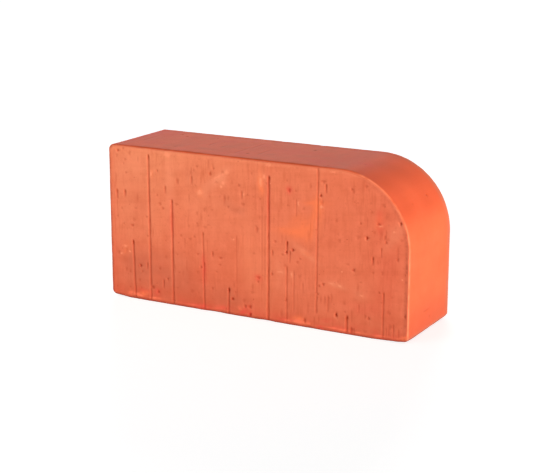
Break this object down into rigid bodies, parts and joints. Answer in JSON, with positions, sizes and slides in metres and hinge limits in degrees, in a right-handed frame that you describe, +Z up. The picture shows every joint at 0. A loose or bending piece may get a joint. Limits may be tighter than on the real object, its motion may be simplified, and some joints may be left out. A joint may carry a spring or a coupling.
{
  "type": "clay brick",
  "caption": "Solid fired-clay bullnose brick with a large rounded corner and wire-cut bed faces, standing on its long narrow side.",
  "frame": {"origin": "middle of the long narrow side that the brick stands on", "axes": "+X along the brick towards its rounded end, +Y through its thickness from one wire-cut face to the other, +Z up"},
  "size_m": [0.24, 0.071, 0.115],
  "materials": {
    "fired_clay": "matt unglazed fired clay, orange-red, wire-cut on the large faces and smooth from the die on the others"
  },
  "bodies": {
    "root": {"bullnose_brick": "fired_clay"}
  },
  "joints": []
}
